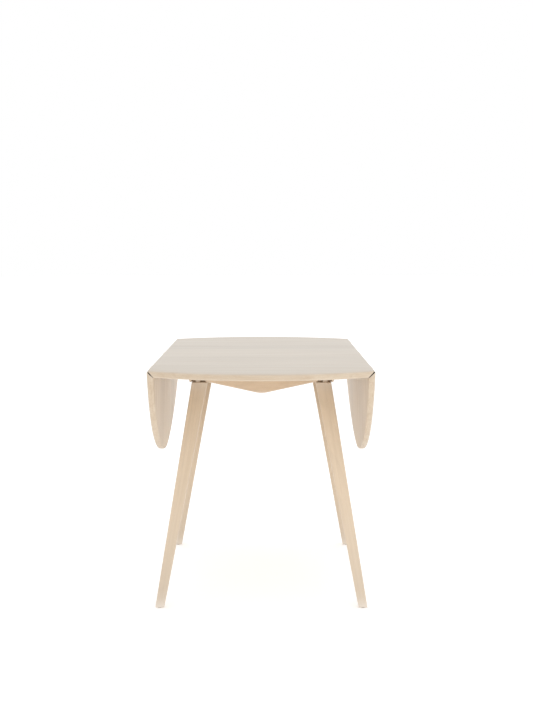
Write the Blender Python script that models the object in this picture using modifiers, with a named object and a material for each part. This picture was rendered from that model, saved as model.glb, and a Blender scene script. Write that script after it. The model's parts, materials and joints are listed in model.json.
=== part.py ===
"""Drop leaf table: a fixed top with two mitred drop leaves on a splayed four-legged base.

Metres, +Z up.  X runs across the table (the leaves hang at -X and +X), Y along it.
The origin is on the floor under the middle of the table.  The table is modelled with
both leaves hanging.
"""

import bpy
import bmesh
from math import acos, asin, atan2, cos, pi, radians, sin, sqrt
from mathutils import Matrix, Vector

for old in list(bpy.data.objects):
    bpy.data.objects.remove(old, do_unlink=True)

# ---------------------------------------------------------------- driving dimensions
FIT = 0.0003                    # gap between touching pieces

TOP_HEIGHT = 0.715              # floor to the upper face
BOARD = 0.018                   # thickness of the top and of the leaves
HALF_WIDTH = 0.315              # centre line to the mitred edge of the fixed top
HALF_REACH = 0.615              # centre line to the rim of a raised leaf
HALF_LENGTH = 0.565             # centre to the rim along Y
RIM_POWER = 2.12                # the oval rim: (x / reach)^power + (y / length)^root = 1
RIM_ROOT = 1.70
TOP_ARRIS = 0.0015              # rounding of the rim's upper edge
UNDER_CHAMFER = 0.0040          # chamfer of the rim's lower edge

MITRE_GAP = 0.0040              # gap in the 45 degree joint while a leaf hangs
RAISED_GAP = 0.0005             # gap left on the upper face when a leaf is up
HANG_OUT = radians(1.8)         # a hanging leaf stands this far off the vertical
LEAF_SWING = pi / 2 - HANG_OUT

GLIDE_HEIGHT = 0.002
GLIDE_RADIUS = 0.009
GLIDE_SOFT = 0.0008
LEG_TOP = 0.6487                # shoulder of the leg, under the apron
LEG_OUTER = (0.3103, -0.1565)   # outer face: x at the floor, and its slope with height
LEG_INNER = (0.2845, -0.1890)   # inner face
LEG_END = (0.3330, -0.1620)     # face at the table's end: y at the floor, and its slope
LEG_DEPTH = (0.0250, 0.0140)    # depth in Y at the floor, and its slope
LEG_ROUND = 0.0025

TENON_X = (0.1840, 0.1975)
TENON_Y = (0.2030, 0.2190)
TENON_TOP = 0.6800

APRON_Y = (0.1990, 0.2230)      # inner and outer face of each end apron
APRON_HALF = 0.2170
APRON_LOW = 0.6490              # lower edge over the legs
APRON_CHAMFER = (0.0030, 0.0040)
HOUSING_X = (0.1675, 0.2100)    # shallow housing over each leg, open downwards
HOUSING_BACK = 0.2070
HOUSING_TOP = 0.6575
VEE_HALF = 0.1590               # half width of the V between the legs
VEE_TIP = 0.6147                # where the two slopes would meet
VEE_ROUND = 0.0180              # half width of the rounded tip
EDGE_SOFT = 0.0012

RAIL_X = (0.1590, 0.1830)       # inner and outer face of each side rail
RAIL_LOW = 0.6590
BOLT_X = 0.1710
BOLT_Z = 0.6760
BOLT_RADIUS = 0.0030
BOLT_HEAD = (0.0060, 0.0050)    # radius and depth
BOLT_LENGTH = 0.0620
NUT_RADIUS = 0.0050
NUT_LENGTH = 0.0140
NUT_SETBACK = 0.0300            # from the end of the side rail

BRACKET_PLATE = 0.0020
BRACKET_SIZE = 0.0220
BRACKET_WIDTH = 0.0260
BRACKET_Y = 0.1150              # on the side rails
BRACKET_SCREW = 0.0136          # from the corner, on both flanges

HINGE_Y = (-0.380, 0.0, 0.380)
HINGE_LENGTH = 0.060
KNUCKLES = 5
KNUCKLE_GAP = 0.0005
BARREL_RADIUS = 0.00165
BARREL_BORE = 0.00095
PIN_RADIUS = 0.00080
PLATE_INSIDE = 0.00040          # plate faces, measured from the middle of the mitre
PLATE_OUTSIDE = 0.00145
PLATE_START = 0.0024            # from the pin, down the mitre
PLATE_REACH = 0.0180
KNUCKLE_TAIL = 0.0045
HINGE_SCREW_REACH = 0.0105
HINGE_SCREW_Y = 0.0200

STAY_ALONG = 0.0460             # leaf pivot of the stay: distance out from the hinge pin
STAY_BELOW = 0.0344             # and distance under the pin, with the leaf up
STAY_LENGTH = 0.0738
STAY_HEIGHT = 0.6820            # pivot on the slider
STAY_HALF = 0.0060
STAY_PLATE = 0.0030
STAY_PIN = 0.0016
STAY_HOLE = 0.0019
STAY_GAP = 0.0004               # between the stay and the ear or the fork beside it
RIVET_LIFT = 0.0011
EAR_PLATE = 0.0025
FOOT_HALF = 0.0170              # foot of the leaf bracket: half length, reach, thickness
FOOT_REACH = 0.0200
FOOT_PLATE = 0.0020
FOOT_SCREWS = (0.0100, 0.0125)  # half spacing, and distance from the stay
SLIDER_HALF = 0.0065
TRACK_X = (0.1975, 0.2930)
TRACK_HALF = 0.0092
TRACK_WALL = 0.0012
TRACK_HEIGHT = 0.0092
TRACK_SLOT = 0.0050             # half width
TRACK_SCREW = 0.0140            # from each end

SCREW = {"head": 0.0030, "shank": 0.0015, "cone": 0.0014, "length": 0.0040, "sides": 12}
LONG_SCREW = {"head": 0.0039, "shank": 0.0020, "cone": 0.0019, "length": 0.0050, "sides": 12}

# ---------------------------------------------------------------- derived places
PIN_INSET = (sqrt(2) * MITRE_GAP - RAISED_GAP) / 2
PIN_X = HALF_WIDTH - PIN_INSET
PIN_Z = TOP_HEIGHT - PIN_INSET
MITRE_TRIM = MITRE_GAP / sqrt(2)        # each mitre face stands back from the corner
UNDERSIDE = TOP_HEIGHT - BOARD
FRAME_TOP = UNDERSIDE - FIT

XZ_PLANE = Matrix.Rotation(pi / 2, 4, "X")
YZ_PLANE = Matrix(((0, 0, 1, 0), (1, 0, 0, 0), (0, 1, 0, 0), (0, 0, 0, 1)))

table = bpy.data.collections.new("drop_leaf_table")
cutters = bpy.data.collections.new("cutters")
for group in (table, cutters):
    bpy.context.scene.collection.children.link(group)


# ---------------------------------------------------------------- materials
def material(name, colour, roughness, metallic=0.0):
    made = bpy.data.materials.new(name)
    made.use_nodes = True
    shader = made.node_tree.nodes["Principled BSDF"]
    shader.inputs["Base Color"].default_value = (*colour, 1.0)
    shader.inputs["Roughness"].default_value = roughness
    shader.inputs["Metallic"].default_value = metallic
    return made


TOP_WOOD = material("top_wood", (0.74, 0.68, 0.60), 0.45)
FRAME_WOOD = material("frame_wood", (0.66, 0.54, 0.42), 0.50)
BRASS = material("brass", (0.62, 0.47, 0.24), 0.35, 1.0)
STEEL = material("steel", (0.55, 0.55, 0.55), 0.35, 1.0)
PLASTIC = material("glide_plastic", (0.42, 0.36, 0.29), 0.60)


# ---------------------------------------------------------------- shape helpers
def link(name, mesh, finish, parent=None, group=table):
    made = bpy.data.objects.new(name, mesh)
    group.objects.link(made)
    mesh.materials.append(finish)
    made.parent = parent
    return made


def mesh_of(name, bm):
    bmesh.ops.recalc_face_normals(bm, faces=bm.faces)
    mesh = bpy.data.meshes.new(name)
    bm.to_mesh(mesh)
    bm.free()
    return mesh


def box(bm, low, high):
    """Add a box between two corners."""
    low, high = Vector(low), Vector(high)
    size = high - low
    place = Matrix.Translation((low + high) / 2) @ Matrix.Diagonal((*size, 1.0))
    bmesh.ops.create_cube(bm, size=1.0, matrix=place)


def turned(bm, profile, place, sides=16):
    """Add a solid of revolution: (radius, height) points, turned about the local Z axis."""
    points = [bm.verts.new((r, 0.0, h)) for r, h in profile]
    edges = [bm.edges.new(pair) for pair in zip(points, points[1:])]
    made = bmesh.ops.spin(bm, geom=points + edges, cent=(0, 0, 0), axis=(0, 0, 1),
                          angle=2 * pi, steps=sides, use_merge=True, use_duplicate=False)
    seen = set(points)
    stack = list(points)
    while stack:
        vert = stack.pop()
        for edge in vert.link_edges:
            other = edge.other_vert(vert)
            if other not in seen:
                seen.add(other)
                stack.append(other)
    bmesh.ops.remove_doubles(bm, verts=list(seen), dist=1e-6)
    moved = [v for v in seen if v.is_valid]
    bmesh.ops.transform(bm, matrix=place, verts=moved)
    return made


def rod(bm, place, radius, start, end, sides=16):
    """Add a cylinder along the local Z axis of place."""
    middle = Matrix.Translation((0, 0, (start + end) / 2))
    bmesh.ops.create_cone(bm, cap_ends=True, segments=sides, radius1=radius, radius2=radius,
                          depth=end - start, matrix=place @ middle)


def aim(point, direction):
    """Matrix with its origin at point and its Z axis along direction."""
    turn = Vector(direction).to_track_quat("Z", "Y").to_matrix().to_4x4()
    return Matrix.Translation(point) @ turn


def outline_mesh(name, outlines, thickness, place):
    """Extrude closed 2D outlines (holes included) and weld the caps."""
    curve = bpy.data.curves.new(name, "CURVE")
    curve.dimensions = "2D"
    curve.fill_mode = "BOTH"
    curve.extrude = thickness / 2
    for outline in outlines:
        spline = curve.splines.new("POLY")
        spline.points.add(len(outline) - 1)
        for point, (x, y) in zip(spline.points, outline):
            point.co = (x, y, 0.0, 1.0)
        spline.use_cyclic_u = True
    holder = bpy.data.objects.new(name, curve)
    cutters.objects.link(holder)
    graph = bpy.context.evaluated_depsgraph_get()
    mesh = bpy.data.meshes.new_from_object(holder.evaluated_get(graph))
    bpy.data.objects.remove(holder, do_unlink=True)
    bpy.data.curves.remove(curve)
    bm = bmesh.new()
    bm.from_mesh(mesh)
    bpy.data.meshes.remove(mesh)
    bmesh.ops.remove_doubles(bm, verts=bm.verts, dist=1e-6)
    bmesh.ops.dissolve_limit(bm, angle_limit=radians(0.1), verts=bm.verts, edges=bm.edges)
    bmesh.ops.transform(bm, matrix=place, verts=bm.verts)
    return mesh_of(name, bm)


def arc(centre, radius, start, end, steps):
    """Points on an arc, both ends included."""
    turns = [start + (end - start) * i / steps for i in range(steps + 1)]
    return [(centre[0] + radius * cos(a), centre[1] + radius * sin(a)) for a in turns]


def boolean(target, cutter_mesh, operation="DIFFERENCE", parent=None):
    """Cut or join with a guide object that stays in the cutters collection."""
    guide = link(f"{target.name}_{operation.lower()}_{len(target.modifiers)}", cutter_mesh,
                 FRAME_WOOD, parent, cutters)
    guide.hide_render = True
    guide.display_type = "WIRE"
    change = target.modifiers.new(operation.lower(), "BOOLEAN")
    change.object = guide
    change.operation = operation
    change.solver = "EXACT"


def soften(target, width, segments=2):
    bevel = target.modifiers.new("soft_edges", "BEVEL")
    bevel.width = width
    bevel.segments = segments
    bevel.limit_method = "ANGLE"
    bevel.angle_limit = radians(35)


def smooth(target):
    target.data.shade_smooth()
    target.data.set_sharp_from_angle(angle=radians(40))


def empty(name, location, turn_y=0.0, parent=None, turn_z=0.0):
    made = bpy.data.objects.new(name, None)
    table.objects.link(made)
    made.location = location
    made.rotation_euler = (0.0, turn_y, turn_z)
    made.parent = parent
    return made


# ---------------------------------------------------------------- screw holes and rivets
def screw_hole(bm, place, kind):
    """Countersunk hole in a plate: its mouth is at the origin and the screw drives along +Z."""
    turned(bm, [(0.0, -0.004), (kind["head"], -0.004), (kind["head"], 0.0),
                (kind["shank"], kind["cone"]), (kind["shank"], kind["length"]),
                (0.0, kind["length"])], place, kind["sides"])


def rivet(bm, place, start, end, head_at_start=True, head_at_end=True):
    """Rivet shank between two faces, with a low head outside one or both of them."""
    head, lift = STAY_PIN * 2.0, RIVET_LIFT
    profile = [(0.0, start - FIT - lift), (head, start - FIT - lift), (head, start - FIT)]
    if not head_at_start:
        profile = [(0.0, start)]
    profile += [(STAY_PIN, profile[-1][1]), (STAY_PIN, end + FIT * head_at_end)]
    if head_at_end:
        profile += [(head, end + FIT), (head, end + FIT + lift), (0.0, end + FIT + lift)]
    else:
        profile += [(0.0, end)]
    turned(bm, profile, place, 16)


def drill(target, places, kind, parent=None):
    bm = bmesh.new()
    for place in places:
        screw_hole(bm, place, kind)
    boolean(target, mesh_of(target.name + "_holes", bm), parent=parent)


# ---------------------------------------------------------------- boards
def rim_y(x):
    """Y of the oval rim at a distance x from the centre line."""
    return HALF_LENGTH * (1.0 - abs(x / HALF_REACH) ** RIM_POWER) ** (1 / RIM_ROOT)


def rim_point(turn):
    """Point of the oval rim on the right, for a turn between -90 and +90 degrees."""
    y = HALF_LENGTH * abs(sin(turn)) ** (2 / RIM_ROOT)
    return (HALF_REACH * cos(turn) ** (2 / RIM_POWER), y if turn > 0 else -y)


def on_oval(co):
    return abs(abs(co.x / HALF_REACH) ** RIM_POWER
               + abs(co.y / HALF_LENGTH) ** RIM_ROOT - 1) < 1e-4


def board_mesh(name, outline):
    """Board with a rounded upper and a chamfered lower rim."""
    middle = Matrix.Translation((0, 0, TOP_HEIGHT - BOARD / 2))
    mesh = outline_mesh(name, [outline], BOARD, middle)
    bm = bmesh.new()
    bm.from_mesh(mesh)
    for height, width in ((TOP_HEIGHT, TOP_ARRIS), (UNDERSIDE, UNDER_CHAMFER)):
        bm.edges.ensure_lookup_table()
        edges = [e for e in bm.edges
                 if all(abs(v.co.z - height) < 1e-6 and on_oval(v.co) for v in e.verts)
                 and len({round(f.normal.z) for f in e.link_faces}) > 1]
        bmesh.ops.bevel(bm, geom=edges, offset=width, segments=2, profile=0.5, affect="EDGES")
    bpy.data.meshes.remove(mesh)
    return mesh_of(name, bm)


def mitre_cutter(name, edge_x, tilt):
    """Wedge that trims a board's straight edge to 45 degrees; tilt is the side it leans to."""
    reach = 2 * BOARD
    start = edge_x - tilt * BOARD - tilt * reach
    points = [(start, UNDERSIDE - reach), (edge_x + tilt * reach, TOP_HEIGHT + reach),
              (start + tilt * 4 * BOARD + tilt * reach, UNDERSIDE - reach)]
    return outline_mesh(name, [points], 2.4 * HALF_LENGTH, XZ_PLANE)


def end_arc(x_from, x_to, steps, sign):
    """Rim points between two distances from the centre line, at one end of the table."""
    return [(x, sign * rim_y(x)) for x in (x_from + (x_to - x_from) * i / steps
                                            for i in range(steps + 1))]


def build_top():
    outline = end_arc(-HALF_WIDTH, HALF_WIDTH, 26, -1) + end_arc(HALF_WIDTH, -HALF_WIDTH, 26, 1)
    top = link("table_top", board_mesh("table_top", outline), TOP_WOOD)
    for side in (-1, 1):
        edge = side * (HALF_WIDTH - MITRE_TRIM)
        boolean(top, mitre_cutter(f"mitre_{side}", edge, side))
    smooth(top)


def build_leaf(name, pivot):
    """Leaf in its raised place, hung on the pivot that turns it down."""
    start = HALF_WIDTH - MITRE_TRIM + RAISED_GAP
    spread = acos((start / HALF_REACH) ** (RIM_POWER / 2))
    steps = 36
    mesh = board_mesh(name, [rim_point(spread * (2 * i / steps - 1)) for i in range(steps + 1)])
    mesh.transform(Matrix.Translation((-PIN_X, 0, -PIN_Z)))
    leaf = link(name, mesh, TOP_WOOD, pivot)
    wedge = mitre_cutter(name + "_mitre", start, -1)
    wedge.transform(Matrix.Translation((-PIN_X, 0, -PIN_Z)))
    boolean(leaf, wedge, parent=pivot)
    smooth(leaf)


# ---------------------------------------------------------------- hinges
def plate_point(along, across, side):
    """Point of the hinge section: along the mitre and across it, from the pin; side mirrors."""
    down = Vector((side, -1.0)) / sqrt(2)
    into = Vector((side, 1.0)) / sqrt(2)
    spot = along * down + across * into
    return (spot.x, spot.y)


def knuckle_section(side):
    """Barrel ring with its tail, and the bore."""
    start = atan2(PLATE_INSIDE, sqrt(BARREL_RADIUS ** 2 - PLATE_INSIDE ** 2))
    end = asin(PLATE_OUTSIDE / BARREL_RADIUS)
    ring = [(BARREL_RADIUS * cos(a), BARREL_RADIUS * sin(a))
            for a in (end + (2 * pi + start - end) * i / 14 for i in range(15))]
    shape = ring + [(KNUCKLE_TAIL, PLATE_INSIDE), (KNUCKLE_TAIL, PLATE_OUTSIDE)]
    bore = arc((0, 0), BARREL_BORE, 0, 2 * pi * 11 / 12, 11)
    return [[plate_point(a, c, side) for a, c in loop] for loop in (shape, bore)]


def hinge_plate(name, centre_y, knuckles, side, parent, origin):
    """One hinge plate: a flat strip in the mitre with its share of the barrel's knuckles."""
    pitch = HINGE_LENGTH / KNUCKLES
    strip = [plate_point(a, c, side) for a, c in
             ((PLATE_START, PLATE_INSIDE), (PLATE_REACH, PLATE_INSIDE),
              (PLATE_REACH, PLATE_OUTSIDE), (PLATE_START, PLATE_OUTSIDE))]
    put = Matrix.Translation(origin) @ XZ_PLANE
    middle = Matrix.Translation((0, centre_y, 0))
    plate = link(name, outline_mesh(name, [strip], HINGE_LENGTH, middle @ put), BRASS, parent)
    bm = bmesh.new()
    for number in knuckles:
        shift = centre_y - HINGE_LENGTH / 2 + (number + 0.5) * pitch
        part = outline_mesh("knuckle", knuckle_section(side), pitch - KNUCKLE_GAP,
                            Matrix.Translation((0, shift, 0)) @ put)
        bm.from_mesh(part)
        bpy.data.meshes.remove(part)
    boolean(plate, mesh_of(name + "_knuckles", bm), "UNION", parent)
    return plate


def hinge_screw_places(centre_y, side, origin):
    """Two screws through a plate, square to the mitre face."""
    x, z = plate_point(HINGE_SCREW_REACH, PLATE_INSIDE, side)
    return [aim((origin[0] + x, centre_y + step, origin[2] + z), (side, 0, 1))
            for step in (-HINGE_SCREW_Y, HINGE_SCREW_Y)]


def build_hinges(side_name, frame, pivot):
    """Three butt hinges: the top's plates and pins, and the leaf's plates."""
    at_pin = (PIN_X, 0.0, PIN_Z)
    for number, y in enumerate(HINGE_Y, start=1):
        tag = f"hinge_{side_name}_{number}"
        top_plate = hinge_plate(tag + "_top_plate", y, (0, 2, 4), -1, frame, at_pin)
        leaf_plate = hinge_plate(tag + "_leaf_plate", y, (1, 3), 1, pivot, (0, 0, 0))
        drill(top_plate, hinge_screw_places(y, -1, at_pin), SCREW, frame)
        drill(leaf_plate, hinge_screw_places(y, 1, (0, 0, 0)), SCREW, pivot)
        bm = bmesh.new()
        rod(bm, aim((PIN_X, y, PIN_Z), (0, 1, 0)), PIN_RADIUS, -HINGE_LENGTH / 2,
            HINGE_LENGTH / 2, 12)
        smooth(link(tag + "_pin", mesh_of(tag + "_pin", bm), STEEL, frame))


# ---------------------------------------------------------------- leaf stays
def turn_about_pin(along, below, angle_down):
    """X and Z of a leaf point after the raised leaf has turned down by an angle."""
    x = PIN_X + along * cos(angle_down) - below * sin(angle_down)
    z = PIN_Z - along * sin(angle_down) - below * cos(angle_down)
    return x, z


def stay_pose(angle_down):
    """Slider position and the stay's slope below level for one leaf angle."""
    x, z = turn_about_pin(STAY_ALONG, STAY_BELOW, angle_down)
    slope = asin((STAY_HEIGHT - z) / STAY_LENGTH)
    return x - STAY_LENGTH * cos(slope), slope


SLIDER_REST, STAY_SLOPE = stay_pose(LEAF_SWING)


def build_track(side_name, frame):
    """Channel under the top with lips that hold the slider."""
    low, high = FRAME_TOP - TRACK_HEIGHT, FRAME_TOP
    half, wall, slot = TRACK_HALF, TRACK_WALL, TRACK_SLOT
    section = [(-half, low), (-slot, low), (-slot, low + wall), (-half + wall, low + wall),
               (-half + wall, high - wall), (half - wall, high - wall),
               (half - wall, low + wall), (slot, low + wall), (slot, low), (half, low),
               (half, high), (-half, high)]
    middle = Matrix.Translation((sum(TRACK_X) / 2, 0, 0))
    mesh = outline_mesh("track", [section], TRACK_X[1] - TRACK_X[0], middle @ YZ_PLANE)
    track = link(f"stay_track_{side_name}", mesh, STEEL, frame)
    places = [aim((x, 0, high - wall), (0, 0, 1))
              for x in (TRACK_X[0] + TRACK_SCREW, TRACK_X[1] - TRACK_SCREW)]
    drill(track, places, SCREW, frame)


def build_slider(side_name, frame):
    """Block in the track with a fork that holds the stay."""
    at = empty(f"slider_place_{side_name}", (SLIDER_REST, 0, STAY_HEIGHT), parent=frame)
    bottom = FRAME_TOP - TRACK_HEIGHT + TRACK_WALL + FIT - STAY_HEIGHT
    top = FRAME_TOP - TRACK_WALL - 2 * FIT - STAY_HEIGHT
    cheek = STAY_PLATE / 2 + STAY_GAP
    neck = TRACK_SLOT - 0.0005
    bm = bmesh.new()
    width = TRACK_HALF - TRACK_WALL - FIT
    box(bm, (-SLIDER_HALF, -width, bottom), (SLIDER_HALF, width, top))
    slider = link(f"stay_slider_{side_name}", mesh_of("slider", bm), STEEL, at)
    fork = [(-STAY_HALF, bottom + 0.001), *arc((0, 0), STAY_HALF, pi, 2 * pi, 12),
            (STAY_HALF, bottom + 0.001)]
    hole = arc((0, 0), STAY_HOLE, 0, 2 * pi * 15 / 16, 15)
    bm = bmesh.new()
    for sign in (-1, 1):
        place = Matrix.Translation((0, sign * (cheek + neck) / 2, 0)) @ XZ_PLANE
        part = outline_mesh("cheek", [fork, hole], neck - cheek, place)
        bm.from_mesh(part)
        bpy.data.meshes.remove(part)
    boolean(slider, mesh_of("fork", bm), "UNION", at)
    bm = bmesh.new()
    rivet(bm, aim((0, 0, 0), (0, 1, 0)), -neck, neck)
    smooth(link(f"slider_pin_{side_name}", mesh_of("slider_pin", bm), STEEL, at))
    return at


def build_arm(side_name, slider_place):
    """Flat stay between the slider and the leaf, with its rivet for the leaf's ear."""
    at = empty(f"arm_place_{side_name}", (0, 0, 0), STAY_SLOPE, slider_place)
    outline = (arc((0, 0), STAY_HALF, pi / 2, 3 * pi / 2, 10)
               + arc((STAY_LENGTH, 0), STAY_HALF, -pi / 2, pi / 2, 10))
    holes = [arc((x, 0), STAY_HOLE, 0, 2 * pi * 15 / 16, 15) for x in (0.0, STAY_LENGTH)]
    mesh = outline_mesh("arm", [outline, *holes], STAY_PLATE, XZ_PLANE)
    link(f"stay_arm_{side_name}", mesh, STEEL, at)
    bm = bmesh.new()
    rivet(bm, aim((STAY_LENGTH, 0, 0), (0, 1, 0)), -STAY_PLATE / 2, STAY_PLATE / 2,
          head_at_end=False)
    smooth(link(f"arm_rivet_{side_name}", mesh_of("arm_rivet", bm), STEEL, at))


def build_leaf_bracket(side_name, pivot):
    """Angle bracket on the leaf: a screwed foot and an ear beside the stay."""
    ear_in = STAY_PLATE / 2 + STAY_GAP
    ear_out = ear_in + EAR_PLATE
    face = -(BOARD - PIN_INSET) - FIT
    start, end = STAY_ALONG - FOOT_HALF, STAY_ALONG + FOOT_HALF
    bm = bmesh.new()
    box(bm, (start, ear_in, face - FOOT_PLATE), (end, FOOT_REACH, face))
    bracket = link(f"leaf_bracket_{side_name}", mesh_of("bracket", bm), STEEL, pivot)
    centre = (STAY_ALONG, -STAY_BELOW)
    ear = [(end, face - FOOT_PLATE / 2), (start, face - FOOT_PLATE / 2), (start, face - 0.005),
           *arc(centre, STAY_HALF, pi + 0.6, 2 * pi - 0.6, 8), (end, face - 0.005)]
    hole = arc(centre, STAY_HOLE, 0, 2 * pi * 15 / 16, 15)
    place = Matrix.Translation((0, (ear_in + ear_out) / 2, 0)) @ XZ_PLANE
    boolean(bracket, outline_mesh("ear", [ear, hole], EAR_PLATE, place), "UNION", pivot)
    spacing, from_stay = FOOT_SCREWS
    places = [aim((STAY_ALONG + step, from_stay, face - FOOT_PLATE), (0, 0, 1))
              for step in (-spacing, spacing)]
    drill(bracket, places, SCREW, pivot)
    bm = bmesh.new()
    rivet(bm, aim((STAY_ALONG, 0, -STAY_BELOW), (0, 1, 0)), ear_in, ear_out, head_at_start=False)
    smooth(link(f"bracket_rivet_{side_name}", mesh_of("bracket_rivet", bm), STEEL, pivot))


# ---------------------------------------------------------------- base
def leg_face(rule, z):
    return rule[0] + rule[1] * z


def build_leg(name, sx, sy, number):
    """Tapered leg, splayed both ways, with a tenon on its shoulder."""
    bm = bmesh.new()
    bmesh.ops.create_cube(bm, size=1.0)
    for vert in bm.verts:
        z = LEG_TOP if vert.co.z > 0 else GLIDE_HEIGHT + FIT
        x = leg_face(LEG_OUTER if vert.co.x > 0 else LEG_INNER, z)
        y = leg_face(LEG_END, z) - (0.0 if vert.co.y > 0 else leg_face(LEG_DEPTH, z))
        vert.co = (sx * x, sy * y, z)
    leg = link(name, mesh_of(name, bm), FRAME_WOOD)
    soften(leg, LEG_ROUND)
    bm = bmesh.new()
    xs = sorted(sx * x for x in TENON_X)
    ys = sorted(sy * y for y in TENON_Y)
    box(bm, (xs[0], ys[0], LEG_TOP - 0.010), (xs[1], ys[1], TENON_TOP))
    boolean(leg, mesh_of(name + "_tenon", bm), "UNION")
    bm = bmesh.new()
    centre = (sx * (leg_face(LEG_OUTER, 0) + leg_face(LEG_INNER, 0)) / 2,
              sy * (LEG_END[0] - LEG_DEPTH[0] / 2), 0.0)
    turned(bm, [(0.0, 0.0), (GLIDE_RADIUS - GLIDE_SOFT, 0.0), (GLIDE_RADIUS, GLIDE_SOFT),
                (GLIDE_RADIUS, GLIDE_HEIGHT), (0.0, GLIDE_HEIGHT)],
           Matrix.Translation(centre), 20)
    smooth(link(f"foot_glide_{number}", mesh_of("glide", bm), PLASTIC))


def apron_outline():
    """Right half of an end apron from the front: level over the leg, then a rounded V."""
    slope = (APRON_LOW - VEE_TIP) / VEE_HALF
    crown = VEE_TIP + slope * VEE_ROUND / 2
    steps = 4
    tip = []
    for i in range(steps + 1):
        x = VEE_ROUND * i / steps
        tip.append((x, crown + slope * x * x / (2 * VEE_ROUND)))
    side, rise = APRON_CHAMFER
    return [(0.0, FRAME_TOP), *tip, (VEE_HALF, APRON_LOW), (APRON_HALF - side, APRON_LOW),
            (APRON_HALF, APRON_LOW + rise), (APRON_HALF, FRAME_TOP)]


def open_half(mesh):
    """Remove the faces on the X = 0 plane, so that a Mirror can close the piece."""
    bm = bmesh.new()
    bm.from_mesh(mesh)
    flat = [f for f in bm.faces if all(abs(v.co.x) < 1e-6 for v in f.verts)]
    bmesh.ops.delete(bm, geom=flat, context="FACES_ONLY")
    bm.to_mesh(mesh)
    bm.free()


def bolt_places():
    """Head end and direction of the four bolts that hold the side rails."""
    return [aim((sx * BOLT_X, sy * (APRON_Y[1] - BOLT_HEAD[1]), BOLT_Z), (0, -sy, 0))
            for sy in (-1, 1) for sx in (-1, 1)]


def bolt_space():
    """Clearance holes for the bolts and their heads."""
    bm = bmesh.new()
    for place in bolt_places():
        radius, depth = BOLT_HEAD
        turned(bm, [(0, -2 * depth), (radius + FIT, -2 * depth), (radius + FIT, 0),
                    (BOLT_RADIUS + FIT, 0), (BOLT_RADIUS + FIT, BOLT_LENGTH + FIT),
                    (0, BOLT_LENGTH + FIT)], place, 16)
    return mesh_of("bolt_space", bm)


def nut_places():
    y = APRON_Y[0] - NUT_SETBACK
    return [aim((sx * RAIL_X[0], sy * y, BOLT_Z), (sx, 0, 0)) for sy in (-1, 1) for sx in (-1, 1)]


def build_aprons():
    for sy, name in ((-1, "front_apron"), (1, "rear_apron")):
        middle = Matrix.Translation((0, sy * sum(APRON_Y) / 2, 0))
        mesh = outline_mesh(name, [apron_outline()], APRON_Y[1] - APRON_Y[0], middle @ XZ_PLANE)
        open_half(mesh)
        apron = link(name, mesh, FRAME_WOOD)
        mirror = apron.modifiers.new("both_halves", "MIRROR")
        mirror.merge_threshold = 0.0001
        soften(apron, EDGE_SOFT)
        bm = bmesh.new()
        for sx in (-1, 1):
            xs = sorted(sx * (x + e) for x, e in zip(TENON_X, (-FIT, FIT)))
            ys = sorted(sy * (y + e) for y, e in zip(TENON_Y, (-FIT, FIT)))
            box(bm, (xs[0], ys[0], APRON_LOW - 0.01), (xs[1], ys[1], TENON_TOP + 0.001))
        boolean(apron, mesh_of(name + "_mortises", bm))
        boolean(apron, bolt_space())
        bm = bmesh.new()
        for sx in (-1, 1):
            xs = sorted(sx * x for x in HOUSING_X)
            ys = sorted(sy * y for y in (HOUSING_BACK, APRON_Y[1] + 0.01))
            box(bm, (xs[0], ys[0], APRON_LOW - 0.01), (xs[1], ys[1], HOUSING_TOP))
        boolean(apron, mesh_of(name + "_housings", bm))


def build_rails():
    for sx, name in ((-1, "side_rail_left"), (1, "side_rail_right")):
        xs = sorted(sx * x for x in RAIL_X)
        bm = bmesh.new()
        end = APRON_Y[0] - FIT
        box(bm, (xs[0], -end, RAIL_LOW), (xs[1], end, FRAME_TOP))
        rail = link(name, mesh_of(name, bm), FRAME_WOOD)
        soften(rail, EDGE_SOFT)
        boolean(rail, bolt_space())
        bm = bmesh.new()
        for place in nut_places():
            rod(bm, place, NUT_RADIUS + FIT, -0.005, BOLT_X - RAIL_X[0] + NUT_LENGTH / 2 + FIT, 16)
        boolean(rail, mesh_of(name + "_nut_holes", bm))


def build_rail_bolts():
    """Four bolts, and four barrel nuts across the rails' ends."""
    radius, depth = BOLT_HEAD
    for number, (head, nut) in enumerate(zip(bolt_places(), nut_places()), start=1):
        bm = bmesh.new()
        turned(bm, [(0, FIT - depth), (radius, FIT - depth), (radius, -FIT), (BOLT_RADIUS, -FIT),
                    (BOLT_RADIUS, BOLT_LENGTH), (0, BOLT_LENGTH)], head, 16)
        smooth(link(f"rail_bolt_{number}", mesh_of("rail_bolt", bm), STEEL))
        bm = bmesh.new()
        start = BOLT_X - RAIL_X[0] - NUT_LENGTH / 2
        rod(bm, nut, NUT_RADIUS, start, start + NUT_LENGTH, 16)
        barrel = link(f"barrel_nut_{number}", mesh_of("barrel_nut", bm), STEEL)
        smooth(barrel)
        bm = bmesh.new()
        rod(bm, head, BOLT_RADIUS + FIT, 0.0, BOLT_LENGTH + 0.010, 16)
        boolean(barrel, mesh_of("nut_thread", bm))


def bracket_frames():
    """Corner between a side rail and the top; local +X points away from the rail."""
    return [Matrix.Translation((sx * RAIL_X[0], y, UNDERSIDE))
            @ Matrix.Rotation(pi if sx > 0 else 0.0, 4, "Z")
            for sx in (-1, 1) for y in (-BRACKET_Y, BRACKET_Y)]


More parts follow.
